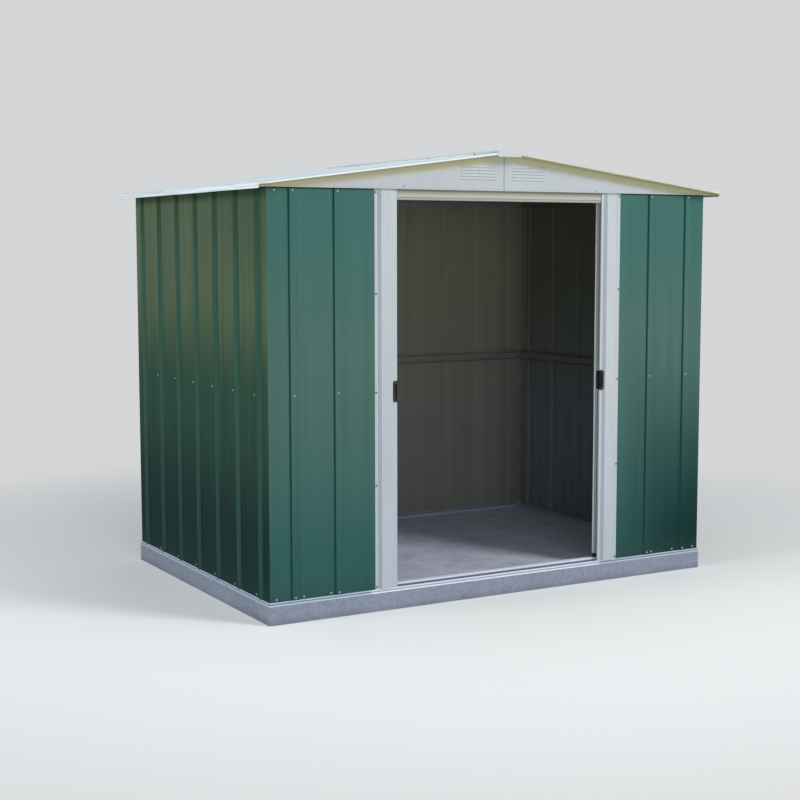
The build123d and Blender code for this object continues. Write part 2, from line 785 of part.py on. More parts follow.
# Plastic glides: two hangers in the track, and two tongues under blocks that close the feet of the stiles
z_head = z_track + track_ledge + seat_gap
hanger_places = [(door_lead - hanger_inset, y_door_middle), (door_trail + hanger_inset, y_door_middle)]
guide_places = [(door_lead - stile_width / 2, y_door_middle), (door_trail + stile_width / 2, y_door_middle)]
with BuildPart() as left_door_glides:
    with BuildSketch(Plane.XY.offset(z_door_top)):
        with Locations(*hanger_places):
            Rectangle(hanger_length, hanger_neck)
    extrude(amount=z_head + hanger_head_height - z_door_top)
    with BuildSketch(Plane.XY.offset(z_head)):
        with Locations(*hanger_places):
            Rectangle(hanger_length, hanger_head)
    extrude(amount=hanger_head_height)
    with BuildSketch(Plane.XY.offset(z_door_bottom)):
        with Locations(*guide_places):
            Rectangle(stile_width, guide_width)
    extrude(amount=-guide_drop)
    with BuildSketch(Plane.XY.offset(z_door_bottom)):
        with Locations(*guide_places):
            Rectangle(stile_width, door_thickness)
    extrude(amount=guide_block_height)
    add(left_door_panel.part, mode=Mode.SUBTRACT)

door_pieces = {
    "stiles": left_door_stiles,
    "rails": left_door_rails,
    "panel": left_door_panel,
    "handle": left_door_handle,
    "glides": left_door_glides,
}
for piece, made in door_pieces.items():
    finish(made, f"left_door_{piece}")
    with BuildPart() as right_piece:
        mirror(made.part, about=Plane.YZ)
    finish(right_piece, f"right_door_{piece}")
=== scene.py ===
import math

import bpy
from mathutils import Matrix, Vector


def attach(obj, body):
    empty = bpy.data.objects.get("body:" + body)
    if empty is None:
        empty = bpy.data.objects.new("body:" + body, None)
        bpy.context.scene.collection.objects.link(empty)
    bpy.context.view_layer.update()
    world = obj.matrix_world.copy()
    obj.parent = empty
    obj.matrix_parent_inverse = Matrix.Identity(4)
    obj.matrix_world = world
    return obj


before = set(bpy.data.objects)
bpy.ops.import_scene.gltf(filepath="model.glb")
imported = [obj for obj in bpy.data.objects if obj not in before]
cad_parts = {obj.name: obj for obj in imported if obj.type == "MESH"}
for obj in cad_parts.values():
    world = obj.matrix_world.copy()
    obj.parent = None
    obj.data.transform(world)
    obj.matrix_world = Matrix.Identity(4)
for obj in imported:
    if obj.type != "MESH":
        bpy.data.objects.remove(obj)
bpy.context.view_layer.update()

# Metal storage shed with a low gable roof and two sliding doors. Metres, front towards -Y, up is +Z.
walls = {
    "halfWidth": 1.178,              # flat faces of the side walls from the middle
    "halfDepth": 0.7865,             # the same of the front and rear walls
    "top": 1.859,
    "ribHeight": 0.006,
    "ribHalf": 0.020,                # half of a rib at its foot
    "leftRibs": (0.120, 0.331),      # ribs left of the doorway, from the corner
    "rightRibs": (0.099, 0.323),
    "sidePitch": 0.232,
    "rearPitch": 0.2134,
    "ridge": 2.0250,
    "slope": 0.12988,
}


def tone(red, green, blue):
    # a screen colour from 0 to 255 as the linear numbers that shaders want
    def linear(value):
        value /= 255
        return value / 12.92 if value <= 0.04045 else ((value + 0.055) / 1.055) ** 2.4
    return (linear(red), linear(green), linear(blue), 1)


class Wire:
    # a socket that sums can be written with
    def __init__(self, finish, socket):
        self.finish = finish
        self.socket = socket

    def work(self, operation, first, second=0.0):
        return self.finish.node("Math", {"operation": operation}, {0: first, 1: second})

    def __add__(self, other):
        return self.work("ADD", self, other)

    def __sub__(self, other):
        return self.work("SUBTRACT", self, other)

    def __rsub__(self, other):
        return self.work("SUBTRACT", other, self)

    def __mul__(self, other):
        return self.work("MULTIPLY", self, other)

    def __truediv__(self, other):
        return self.work("DIVIDE", self, other)

    def __gt__(self, other):
        return self.work("GREATER_THAN", self, other)

    def __lt__(self, other):
        return self.work("LESS_THAN", self, other)

    def __abs__(self):
        return self.work("ABSOLUTE", self)

    __radd__ = __add__
    __rmul__ = __mul__


class Finish:
    # one material: fixed numbers go on the shader's own sockets, patterns are fed in
    def __init__(self, name, **fixed):
        self.material = bpy.data.materials.new(name)
        self.material.use_nodes = True
        self.tree = self.material.node_tree
        self.shader = self.tree.nodes["Principled BSDF"]
        for socket, value in fixed.items():
            self.shader.inputs[socket.replace("_", " ")].default_value = value
        place = self.tree.nodes.new("ShaderNodeTexCoord")
        self.place = Wire(self, place.outputs["Object"])
        self.x, self.y, self.z = self.parts(self.place)

    def node(self, kind, settings, values, out=0):
        made = self.tree.nodes.new("ShaderNode" + kind)
        for key, value in settings.items():
            setattr(made, key, value)
        for socket, value in values.items():
            if isinstance(value, Wire):
                self.tree.links.new(value.socket, made.inputs[socket])
            else:
                made.inputs[socket].default_value = value
        return Wire(self, made.outputs[out])

    def parts(self, vector):
        # its x, y and z
        return [self.node("SeparateXYZ", {}, {0: vector}, out) for out in range(3)]

    def facing(self):
        return self.parts(self.node("NewGeometry", {}, {}, 3))

    def outwards(self, turned, along):
        # how far a face turns away from the middle, from its normal and its place along one axis
        return turned * self.node("Math", {"operation": "SIGN"}, {0: along})

    def noise(self, scale, detail=3.0, rough=0.5, vector=None):
        return self.node("TexNoise", {}, {"Vector": vector or self.place, "Scale": scale,
                                          "Detail": detail, "Roughness": rough})

    def runs(self, across, along, up, detail, rough):
        # noise drawn out into runs, with that many repeats a metre each way
        drawn = self.node("Mapping", {}, {"Vector": self.place, "Scale": (across, along, up)})
        return self.noise(1.0, detail, rough, drawn)

    def blend(self, amount, first, second):
        # inputs 6 and 7 and output 2 of a Mix node are its colours
        return self.node("Mix", {"data_type": "RGBA"}, {0: amount, 6: first, 7: second}, 2)

    def tint(self, colour, by):
        return self.node("Mix", {"data_type": "RGBA", "blend_type": "MULTIPLY"},
                         {0: 1.0, 6: colour, 7: by}, 2)

    def smooth(self, value, low, high):
        # 0 at low, 1 at high
        return self.node("MapRange", {"interpolation_type": "SMOOTHSTEP"}, {0: value, 1: low, 2: high})

    def fade(self, value, places, first, second):
        # first colour at the first place, second colour at the second
        return self.blend(self.smooth(value, *places), first, second)

    def band(self, value, start, end, soft):
        # 1 between start and end, fading over soft on either side
        return self.smooth(value, start - soft, start) * self.smooth(value, end + soft, end)

    def feed(self, socket, value):
        self.tree.links.new(value.socket, self.shader.inputs[socket])

    def bump(self, height, strength, distance):
        self.feed("Normal", self.node("Bump", {}, {"Strength": strength, "Distance": distance,
                                                   "Height": height}))


def deselect():
    bpy.ops.object.select_all(action="DESELECT")


def settle(piece):
    # the finished piece has its place in its mesh
    deselect()
    piece.select_set(True)
    bpy.context.view_layer.objects.active = piece
    bpy.ops.object.transform_apply(location=True, rotation=True, scale=True)


def joinAll(copies, name):
    deselect()
    for piece in copies:
        piece.select_set(True)
    bpy.context.view_layer.objects.active = copies[0]
    bpy.ops.object.join()
    joined = bpy.context.object
    joined.name = name
    settle(joined)
    return joined


view = {
    "place": (-3.7821, -6.4788, 1.6136),
    "yaw": 29.67,                    # degrees to the right of straight at the front
    "pitch": 5.90,                   # degrees down
    "roll": -0.075,
    "lens": 67.17,
    "sensor": 36,
}
bpy.ops.object.camera_add(location=view["place"])
camera = bpy.context.object
camera.rotation_euler = (math.radians(90 - view["pitch"]), 0, math.radians(-view["yaw"]))
camera.rotation_euler.rotate_axis("Z", math.radians(view["roll"]))
camera.data.lens = view["lens"]
camera.data.sensor_width = view["sensor"]
bpy.context.scene.camera = camera
print("camera placed")

# Noise drawn out into runs: repeats a metre across, along and up, then detail and roughness.
patterns = {
    "broad": (22, 22, 0.35, 2.0, 0.5),
    "fine": (150, 150, 0.7, 2.0, 0.6),
    "clearness": (9, 9, 0.8, 2.0, 0.6),      # where the fine lines show
    "sideRuns": (34, 34, 0.4, 3.0, 0.8),
    "primerRuns": (30, 30, 0.4, 3.0, 0.7),
    "roofRuns": (1.6, 34, 1.6, 4.0, 0.6),    # down the slope
    "fasciaRuns": (8, 1.6, 110, 3.0, 0.6),   # along the eaves
}


def ribPlace(finish, along, pitch):
    # distance from the middle of the nearest of evenly spaced ribs
    steps = along / pitch
    return (steps - finish.node("Math", {"operation": "ROUND"}, {0: steps})) * pitch


def fineLines(finish, along, pitch):
    # 1 on fine upright lines, clearer in some places than in others
    line = finish.smooth(abs(ribPlace(finish, along, pitch)), 0.36 * pitch, 0.10 * pitch)
    return line * finish.smooth(finish.runs(*patterns["clearness"]), 0.32, 0.68)


greenPaint = {
    "front": tone(63, 103, 97),
    "frontMiddle": tone(73, 104, 96),
    "frontFoot": tone(48, 89, 87),
    "rightFoot": tone(18, 47, 46),
    # The side walls are darker than the front as painted shade, and olive at the top as painted reflection.
    "side": tone(41, 70, 56),
    "sideTop": tone(78, 95, 72),
    "sideNear": tone(66, 85, 64),        # painted reflection on the upper side towards the front
    "sideFoot": tone(16, 45, 41),
    "sideLine": tone(45, 71, 58),        # painted shade before each rib of the sides
    "flank": tone(50, 81, 70),           # painted light: the front-facing flanks of the ribs of the sides take the front's teal
    "flankTop": tone(45, 70, 52),
    "flankFoot": tone(40, 73, 68),
    "fold": tone(26, 62, 59),            # painted shade in the left folds of the front ribs
    "shadow": tone(26, 46, 36),          # painted shadow under the gables and eaves
    "grime": tone(52, 70, 62),           # splashed up from the ground
    "primer": tone(138, 136, 120),       # inner faces
    "primerWorn": tone(112, 112, 98),
    "primerSide": tone(98, 108, 92),
    "primerLow": tone(132, 139, 156),    # inside, towards the floor
    "streakDark": (0.72, 0.74, 0.73, 1),     # these two multiply the paint
    "streakLight": (1.3, 1.27, 1.28, 1),
    "linePitch": 0.0116,                 # fine lines pressed in the sheets
}
greenPlaces = {
    "crossWall": 0.735,              # front and rear sheets and doors lie beyond this from the middle
    "frontSheet": 0.78,              # the outer faces of the front lie beyond this
    "outward": 0.3,                  # a face that turns out more than this is painted green
    "corner": 0.9,                   # and on the front and rear, one that turns this far sideways
    "skin": 0.001,                   # the sides' outer faces lie no further inwards than this
    "frontMiddle": (1.7, 1.1),       # from here on, a tone sets in at the first height or place
    "frontFoot": (1.1, 0.15),        # and has fully taken over at the second
    "rightFoot": (1.2, 0.2),
    "rightAcross": (0.45, 1.15),
    "near": (0.2, -0.75),
    "nearTop": (1.3, 1.8),
    "side": (1.42, 0.94),
    "sideFoot": (0.95, 0.32),
    "flankTop": (1.45, 1.8),
    "flankFoot": (0.9, 0.3),
    "primerLow": (1.5, 0.3),
    "splash": (0.22, 0.10),
    "shadow": (0.011, 0.002),        # down from the top of the walls
    "lineTop": (0.5, 1.0),
    "lineBand": (-0.033, -0.0215, 0.002),    # start, end and softness, from the middle of a side rib
    "flankBand": (-0.021, 0.024, 0.002),
    "foldWidth": 0.0035,
    "foldSoft": 0.0025,
    "foldLead": 0.001,               # painted shadow beside a fold starts this far before it
    "foldBeside": 0.014,             # and fades out over this
    "wander": 0.5,                   # how far the heights above wander up and down
    "sideWander": 0.25,
    "splashWander": 0.14,
}
greenAmounts = {
    "sideLine": 0.9,
    "flank": 0.95,
    "fold": 0.8,
    "besideFold": 0.25,
    "shadow": 0.75,
    "grime": 0.35,
    "crossLow": 0.6,                 # how much less of the floor's tone the front and rear have inside
    "primerClouds": 0.3,
    "primerRuns": 0.5,
    "broad": 0.5,                    # the four parts of the streaks
    "fine": 0.35,
    "lines": 0.13,
    "sideRuns": 1.7,
}


def frontTone(finish, high):
    # outer faces of the front and rear sheets, darkest at the foot on the right
    paint = finish.fade(high, greenPlaces["frontMiddle"], greenPaint["front"], greenPaint["frontMiddle"])
    paint = finish.fade(high, greenPlaces["frontFoot"], paint, greenPaint["frontFoot"])
    right = finish.smooth(finish.x, *greenPlaces["rightAcross"])
    right = right * finish.smooth(high, *greenPlaces["rightFoot"]) * (finish.y < -greenPlaces["frontSheet"])
    return finish.blend(right, paint, greenPaint["rightFoot"])


def sideTone(finish, level):
    # side walls, from painted reflection in olive under the roof to painted shade in dark green at the foot,
    # where the ribs carry painted light in the front's teal and a painted shade line lies before each rib
    near = finish.smooth(finish.y, *greenPlaces["near"]) * finish.smooth(level, *greenPlaces["nearTop"])
    paint = finish.blend(near, greenPaint["sideTop"], greenPaint["sideNear"])
    paint = finish.fade(level, greenPlaces["side"], paint, greenPaint["side"])
    paint = finish.fade(level, greenPlaces["sideFoot"], paint, greenPaint["sideFoot"])
    rib = ribPlace(finish, finish.y, walls["sidePitch"])
    line = finish.band(rib, *greenPlaces["lineBand"]) * finish.smooth(level, *greenPlaces["lineTop"])
    paint = finish.blend(line * greenAmounts["sideLine"], paint, greenPaint["sideLine"])
    flank = finish.fade(level, greenPlaces["flankTop"], greenPaint["flank"], greenPaint["flankTop"])
    flank = finish.fade(level, greenPlaces["flankFoot"], flank, greenPaint["flankFoot"])
    return finish.blend(finish.band(rib, *greenPlaces["flankBand"]) * greenAmounts["flank"], paint, flank)


def innerTone(finish, high, crossWall):
    # primer on the inner faces, with runs
    primer = finish.blend(crossWall, greenPaint["primerSide"], greenPaint["primer"])
    low = finish.smooth(high, *greenPlaces["primerLow"]) * (1 - crossWall * greenAmounts["crossLow"])
    primer = finish.blend(low, primer, greenPaint["primerLow"])
    runs = finish.runs(*patterns["primerRuns"]) * 2 - 0.6
    worn = finish.noise(9.0, 4.0) * greenAmounts["primerClouds"] + runs * greenAmounts["primerRuns"]
    return finish.blend(worn, primer, greenPaint["primerWorn"])


def foldShade(finish, onFront):
    # painted shade: 1 on the left fold of each rib of the front, and less beside it as painted shadow
    fold = -walls["ribHalf"]
    left = [inwards - walls["halfWidth"] for inwards in walls["leftRibs"]]
    right = [walls["halfWidth"] - inwards for inwards in walls["rightRibs"]]
    # grime sums the painted shade of every fold
    grime = 0.0
    for middle in left + right:
        offset = finish.x - middle
        inFold = finish.band(offset, fold, fold + greenPlaces["foldWidth"], greenPlaces["foldSoft"])
        beside = finish.band(offset, fold - greenPlaces["foldLead"], fold, greenPlaces["foldBeside"])
        grime = grime + (inFold + beside * greenAmounts["besideFold"]) * onFront
    return grime


def greenSheet():
    finish = Finish("green_sheet", IOR=1.5, Specular_IOR_Level=0.03)
    across, along, _ = finish.facing()
    sideways = finish.outwards(across, finish.x)
    lengthways = finish.outwards(along, finish.y)
    crossWall = abs(finish.y) > greenPlaces["crossWall"]
    crossOutside = (lengthways > greenPlaces["outward"]) + (sideways > greenPlaces["corner"])
    outside = (sideways > greenPlaces["outward"]) * (1 - crossWall) + crossWall * crossOutside
    sideWall = abs(finish.x) > walls["halfWidth"] - greenPlaces["skin"]

    wander = finish.noise(1.3, 2.0) - 0.5
    high = finish.z + wander * greenPlaces["wander"]
    sideHigh = finish.z + wander * greenPlaces["sideWander"]
    paint = finish.blend(sideWall, frontTone(finish, high), sideTone(finish, sideHigh))
    onFront = (finish.y < -greenPlaces["frontSheet"]) * (1 - sideWall)
    paint = finish.blend(foldShade(finish, onFront) * greenAmounts["fold"], paint, greenPaint["fold"])
    shadow = finish.smooth(walls["top"] - finish.z, *greenPlaces["shadow"])
    paint = finish.blend(shadow * greenAmounts["shadow"], paint, greenPaint["shadow"])

    broad = finish.runs(*patterns["broad"])
    fine = finish.runs(*patterns["fine"])
    lines = fineLines(finish, finish.x * (1 - sideWall) + finish.y * sideWall, greenPaint["linePitch"])
    sideRuns = (finish.runs(*patterns["sideRuns"]) - 0.5) * sideWall
    streaks = (broad - 0.5) * greenAmounts["broad"] + (fine - 0.5) * greenAmounts["fine"]
    streaks = streaks + (lines - 0.4) * greenAmounts["lines"] + sideRuns * greenAmounts["sideRuns"] + 0.5
    paint = finish.tint(paint, finish.blend(streaks, greenPaint["streakDark"], greenPaint["streakLight"]))
    ragged = (finish.noise(22.0, 5.0, 0.6) - 0.5) * greenPlaces["splashWander"]
    splash = finish.smooth(finish.z + ragged, *greenPlaces["splash"])
    paint = finish.blend(splash * greenAmounts["grime"], paint, greenPaint["grime"])
    finish.feed("Base Color", finish.blend(outside, innerTone(finish, high, crossWall), paint))
    finish.feed("Roughness", 0.5 + (broad - 0.5) * 0.12 + splash * 0.2 + (1 - outside) * 0.2)
    finish.bump(fine * 0.4 + lines * 0.4 + finish.noise(420.0, 2.0) * 0.3, 0.2, 0.0005)
    return finish.material


whites = {
    "linePitch": 0.0118,                 # fine lines pressed in the trims and gables
    "trim": tone(184, 190, 195),
    "trimWorn": tone(170, 177, 183),
    "gable": tone(176, 182, 187),
    "gableWorn": tone(168, 173, 176),
    "roof": tone(196, 206, 212),
    "roofWorn": tone(156, 168, 180),
}


def whitePaint(name, shade, worn, details):
    # coated white metal
    finish = Finish(name, IOR=1.5, Specular_IOR_Level=0.3)
    fine = finish.runs(*patterns["fine"])
    patches = finish.noise(7.0, 5.0, 0.6)
    paint = finish.blend((patches - 0.35) * 0.6 + (fine - 0.5) * 0.3, shade, worn)
    finish.feed("Base Color", details(finish, paint, patches))
    finish.feed("Roughness", 0.46 + (patches - 0.5) * 0.15)
    finish.bump(fine * 0.5 + finish.noise(380.0, 2.0) * 0.5, 0.2, 0.0003)
    return finish.material


trim = {
    "foot": tone(173, 182, 193),
    "footFrom": (1.0, 0.15),             # heights where it sets in and is fully there
    "footWander": 0.2,
    "linesAmount": 0.52,
    "flank": tone(146, 154, 162),        # painted shade on the flanks of the jambs that turn to the left; the fine pressed lines take this tone too
    "flankTurn": -0.25,
    "flankFrom": 0.7864,                 # they stand out further than this from the middle
    "flankAmount": 0.85,
    "top": tone(120, 122, 112),          # painted shadow just under the foot of the gable
    "topFrom": (1.846, 1.857),
    "topAmount": 0.8,
    # The header is greyer as painted shade under the gable, and darkest near its top as painted shadow.
    "header": tone(169, 172, 165),
    "headerFoot": 1.8129,
    "headerHalf": 0.5552,                # half of its length
    "headerTop": tone(123, 120, 101),
    "headerTopFrom": (1.830, 1.855),
    "lip": tone(154, 154, 140),
    "lipFrom": (1.8235, 1.8220),
    "line": tone(120, 126, 118),         # painted shade in the groove above the lip
    "lineBand": (1.8228, 1.8250, 0.0008),
    "doorEdge": tone(232, 238, 238),     # painted light on the leading edges of the doors, which stand in shade
    # Painted shade at the front of the doors' edges, in the gap behind the jambs.
    "doorGapShade": tone(150, 154, 156),
    "doorGapShadeTo": (-0.7545, -0.7525),
    "doorBand": (-0.765, -0.735, 0.001),
    "doorHalf": 0.5575,
    "doorTop": 1.81,
}


def trimDetails(finish, paint, patches):
    # bluer towards the ground, with fine lines, painted shade on the left-turning flanks and under the
    # gable, the header greyer as painted shade, and painted light on the edges of the doors
    high = finish.z + (patches - 0.5) * trim["footWander"]
    paint = finish.fade(high, trim["footFrom"], paint, trim["foot"])
    lines = fineLines(finish, finish.x, whites["linePitch"])
    paint = finish.blend(lines * trim["linesAmount"], paint, trim["flank"])
    across = finish.facing()[0]
    flank = (across < trim["flankTurn"]) * (finish.y < -trim["flankFrom"])
    paint = finish.blend(flank * trim["flankAmount"], paint, trim["flank"])
    top = finish.smooth(finish.z, *trim["topFrom"])
    paint = finish.blend(top * trim["topAmount"], paint, trim["top"])
    header = (finish.z > trim["headerFoot"]) * (abs(finish.x) < trim["headerHalf"])
    bands = finish.fade(finish.z, trim["headerTopFrom"], trim["header"], trim["headerTop"])
    bands = finish.fade(finish.z, trim["lipFrom"], bands, trim["lip"])
    bands = finish.blend(finish.band(finish.z, *trim["lineBand"]), bands, trim["line"])
    paint = finish.blend(header, paint, bands)
    # Painted light on the doors' leading edges, with painted shade at their front.
    edge = finish.band(finish.y, *trim["doorBand"]) * (abs(finish.x) < trim["doorHalf"])
    worn = finish.fade(finish.y, trim["doorGapShadeTo"], trim["doorGapShade"], trim["doorEdge"])
    return finish.blend(edge * (finish.z < trim["doorTop"]), paint, worn)


gable = {
    "shadeUnderRoof": tone(188, 183, 144),    # painted shade and painted warm reflection under the overhang
    "underFrom": (0.054, 0.010),         # down from the roof
    "underWander": 0.014,
    "underAmount": 0.95,
    "underEdge": tone(162, 161, 131),    # the darkest painted shade, along the roof
    "underEdgeFrom": (0.014, 0.0),
    "hoods": tone(240, 244, 248),        # painted light on the undersides of the louvres and on cheeks that turn to the left
    "leftTurn": -0.5,
    "downTurn": -0.3,
    "hoodsWithin": 0.25,                 # from the middle
    "hoodsBeyond": 0.785,
    "hoodsBelow": 0.02,
    "seam": tone(92, 96, 92),
    "seamHalf": 0.0016,
    "linesAmount": 0.06,
}


def gableDetails(finish, paint, patches):
    # painted shade and painted warm reflection under the overhang, painted light on the louvres, and its
    # halves meet on a thin line
    below = (walls["ridge"] - abs(finish.x) * walls["slope"]) - finish.z
    lines = fineLines(finish, finish.x, whites["linePitch"])
    paint = finish.blend(lines * gable["linesAmount"], paint, gable["seam"])
    across, _, up = finish.facing()
    turned = (across < gable["leftTurn"]) + (up < gable["downTurn"])
    hoods = turned * (abs(finish.x) < gable["hoodsWithin"])
    hoods = hoods * (abs(finish.y) > gable["hoodsBeyond"]) * (below > gable["hoodsBelow"])
    paint = finish.blend(hoods, paint, gable["hoods"])
    roofShade = finish.fade(below, gable["underEdgeFrom"], gable["shadeUnderRoof"], gable["underEdge"])
    wander = (finish.noise(14.0, 3.0) - 0.5) * gable["underWander"]
    under = finish.smooth(below + wander, *gable["underFrom"])
    paint = finish.blend(under * gable["underAmount"], paint, roofShade)
    return finish.blend(abs(finish.x) < gable["seamHalf"], paint, gable["seam"])


roof = {
    "wornFrom": 0.42,                    # noise below this leaves no mark
    "wornAmount": 1.4,
    "grime": tone(160, 164, 152),
    "grimeAmount": 0.6,
    "under": tone(176, 172, 132),        # faces that turn down or inwards
    "downTurn": -0.3,
    "inwardTurn": -0.5,
    # The fascias are lighter than the roof as painted reflection, and the verges and rib ends lighter as
    # painted light.
    "fascia": tone(224, 232, 237),
    "fasciaWorn": tone(156, 168, 178),
    "fasciaFrom": 0.44,
    "fasciaAmount": 3.2,
    "ribSide": tone(202, 213, 218),      # painted light on the ends of the ribs
    "ribFoot": tone(166, 180, 190),
    "ribFootFrom": (0.011, 0.006),       # painted shade at the foot of the ribs, up from the sheet
    "verge": tone(222, 230, 231),
    "vergeFrom": 0.83,                   # its faces lie beyond this from the middle
    # Painted warm shade on the right verge.
    "vergeRight": tone(192, 189, 168),
    "vergeLine": tone(186, 194, 196),    # painted shade along the top of the verge
    "vergeLineFrom": (0.0065, 0.0078),
    "capEnd": tone(186, 190, 190),
    "capHalf": 0.065,
    "eaveEnd": tone(206, 204, 190),
    "eaveFrom": 1.2,
    "flat": 0.7,                         # a face that turns this far counts as an end or a fascia
}


def roofDetails(finish, paint, patches):
    # runs down the slope, painted light on the fascias, verges and rib ends, painted shade at the rib feet,
    # along the verges' tops and on the right verge, the underside plainer and warmer
    worn = (finish.runs(*patterns["roofRuns"]) - roof["wornFrom"]) * roof["wornAmount"]
    paint = finish.blend(worn, paint, whites["roofWorn"])
    paint = finish.blend((patches - 0.5) * roof["grimeAmount"], paint, roof["grime"])
    across, along, up = finish.facing()
    streaks = (finish.runs(*patterns["fasciaRuns"]) - roof["fasciaFrom"]) * roof["fasciaAmount"]
    fascia = finish.blend(streaks, roof["fascia"], roof["fasciaWorn"])
    paint = finish.blend(abs(across) > roof["flat"], paint, fascia)
    verge = abs(finish.y) > roof["vergeFrom"]
    rise = finish.z - (walls["ridge"] - abs(finish.x) * walls["slope"])
    ends = finish.fade(rise, roof["ribFootFrom"], roof["ribSide"], roof["ribFoot"])
    ends = finish.blend(verge, ends, roof["verge"])
    ends = finish.blend((finish.x > 0) * verge, ends, roof["vergeRight"])
    ends = finish.blend(finish.smooth(rise, *roof["vergeLineFrom"]) * verge, ends, roof["vergeLine"])
    ends = finish.blend(abs(finish.x) < roof["capHalf"], ends, roof["capEnd"])
    ends = finish.blend((abs(finish.x) > roof["eaveFrom"]) * verge, ends, roof["eaveEnd"])
    paint = finish.blend((abs(along) > roof["flat"]) * (1 - patches * 0.3), paint, ends)
    under = (up < roof["downTurn"]) + (finish.outwards(across, finish.x) < roof["inwardTurn"])
    return finish.blend(under, paint, roof["under"])


stone = {
    "dark": tone(104, 113, 136),
    "light": tone(132, 141, 160),
    "sand": tone(160, 164, 174),
    "sandAmount": 0.7,
    "gritAmount": 2.2,
    "pit": tone(82, 82, 90),
    "pitAmount": 0.7,
    "damp": tone(92, 92, 94),
    "dampFrom": (0.035, 0.0),            # heights
    "dampWander": 0.06,
    "dampAmount": 0.4,
    "litFloor": tone(214, 219, 244),        # the floor inside, with painted light, much lighter and bluer than the slab
    "litFloorSand": tone(236, 238, 248),
    "litFloorMottle": tone(168, 172, 194),
    "litFloorGrit": 1.6,                    # how much grit and blotches shade it
    "litFloorBlotch": 2.0,
    "floor": 0.0815,                     # just under its height
    "floorHalfWidth": 1.12,
    "floorHalfDepth": 0.73,
}


def concrete():
    finish = Finish("concrete", IOR=1.45, Specular_IOR_Level=0.3)
    cloud = finish.noise(4.0, 6.0, 0.65)
    sand = finish.noise(260.0, 3.0, 0.7)
    grit = finish.noise(85.0, 4.0, 0.75)
    blotch = finish.noise(9.0, 4.0, 0.7)
    pores = finish.node("TexVoronoi", {}, {"Vector": finish.place, "Scale": 120.0})
    pits = finish.smooth(pores, 0.16, 0.05) * (finish.noise(60.0, 2.0) > 0.55)
    colour = finish.blend(cloud, stone["dark"], stone["light"])
    colour = finish.blend((sand - 0.3) * stone["sandAmount"], colour, stone["sand"])
    colour = finish.blend((grit - 0.42) * stone["gritAmount"], colour, stone["sand"])
    litFloor = finish.blend(finish.smooth(sand, 0.45, 0.75) * 0.6, stone["litFloor"], stone["litFloorSand"])
    shade = (grit - 0.42) * stone["litFloorGrit"] + (blotch - 0.46) * stone["litFloorBlotch"]
    litFloor = finish.blend(shade, litFloor, stone["litFloorMottle"])
    inside = (abs(finish.x) < stone["floorHalfWidth"]) * (abs(finish.y) < stone["floorHalfDepth"])
    inside = inside * (finish.z > stone["floor"])
    # Painted light on the floor inside.
    colour = finish.blend(inside * (1 - cloud * 0.3), colour, litFloor)
    colour = finish.blend(pits * stone["pitAmount"], colour, stone["pit"])
    damp = finish.smooth(finish.z + (cloud - 0.5) * stone["dampWander"], *stone["dampFrom"])
    finish.feed("Base Color", finish.blend(damp * stone["dampAmount"], colour, stone["damp"]))
    finish.feed("Roughness", 0.78 + (sand - 0.5) * 0.2)
    finish.bump(sand * 0.7 + cloud * 0.3 - pits * 0.8, 0.5, 0.0012)
    return finish.material


metals = {
    "rail": tone(184, 198, 212),
    "railDull": tone(156, 172, 190),
    # Painted shade in the groove of the rail's face.
    "railGroove": tone(112, 128, 150),
    "grooveBand": (0.0892, 0.0940, 0.0008),  # heights and softness
    "grooveAmount": 0.9,
    "railLip": tone(176, 190, 212),      # below the groove
    "lipTop": 0.0885,
    "sill": tone(238, 242, 252),         # the front rail in the doorway, much lighter than the rest of the rail
    "sillLeft": (-0.70, -0.67),
    "sillRight": (0.575, 0.545),
    "sillFront": -0.70,                  # the sill lies in front of this
    "sillTop": 0.2,
    # Painted shade in the groove of the sill.
    "sillGroove": tone(150, 160, 186),
    "sillGrooveBand": (0.0885, 0.0945, 0.001),
    "sillGrooveAmount": 0.7,
    "sillFold": tone(116, 124, 146),     # painted shade in the trough of the sill
    "foldBehind": -0.774,
    "foldFrom": (0.1055, 0.1025),
    "frame": tone(150, 152, 148),
    "frameDull": tone(112, 114, 112),
}


def zinc(name, bright, dull, metal):
    # dull galvanised steel, mottled, with painted shade in the grooves and the sill's trough
    finish = Finish(name, Metallic=metal, IOR=1.5)
    cloud = finish.noise(11.0, 4.0, 0.6)
    mottle = finish.noise(60.0, 3.0, 0.6)
    colour = finish.blend((cloud - 0.3) * 0.8 + (mottle - 0.5) * 0.6, metals[bright], metals[dull])
    lip = (finish.z < metals["lipTop"]) * (1 - mottle * 0.6)
    colour = finish.blend(lip, colour, metals["railLip"])
    # painted shade in the groove
    groove = finish.band(finish.z, *metals["grooveBand"]) * metals["grooveAmount"]
    colour = finish.blend(groove, colour, metals["railGroove"])
    sill = finish.smooth(finish.x, *metals["sillLeft"]) * finish.smooth(finish.x, *metals["sillRight"])
    sill = sill * (finish.y < metals["sillFront"]) * (finish.z < metals["sillTop"])
    colour = finish.blend(sill * (1 - mottle * 0.5), colour, metals["sill"])
    groove = sill * finish.band(finish.z, *metals["sillGrooveBand"]) * metals["sillGrooveAmount"]
    colour = finish.blend(groove, colour, metals["sillGroove"])
    fold = (finish.y > metals["foldBehind"]) * finish.smooth(finish.z, *metals["foldFrom"])
    colour = finish.blend(sill * fold, colour, metals["sillFold"])
    finish.feed("Base Color", colour)
    finish.feed("Roughness", 0.5 + (mottle - 0.5) * 0.2)
    finish.bump(finish.noise(300.0, 2.0), 0.12, 0.0003)
    return finish.material


plastic = {
    "black": tone(28, 32, 30),           # handles and glides
    "scuffed": tone(58, 60, 56),
}


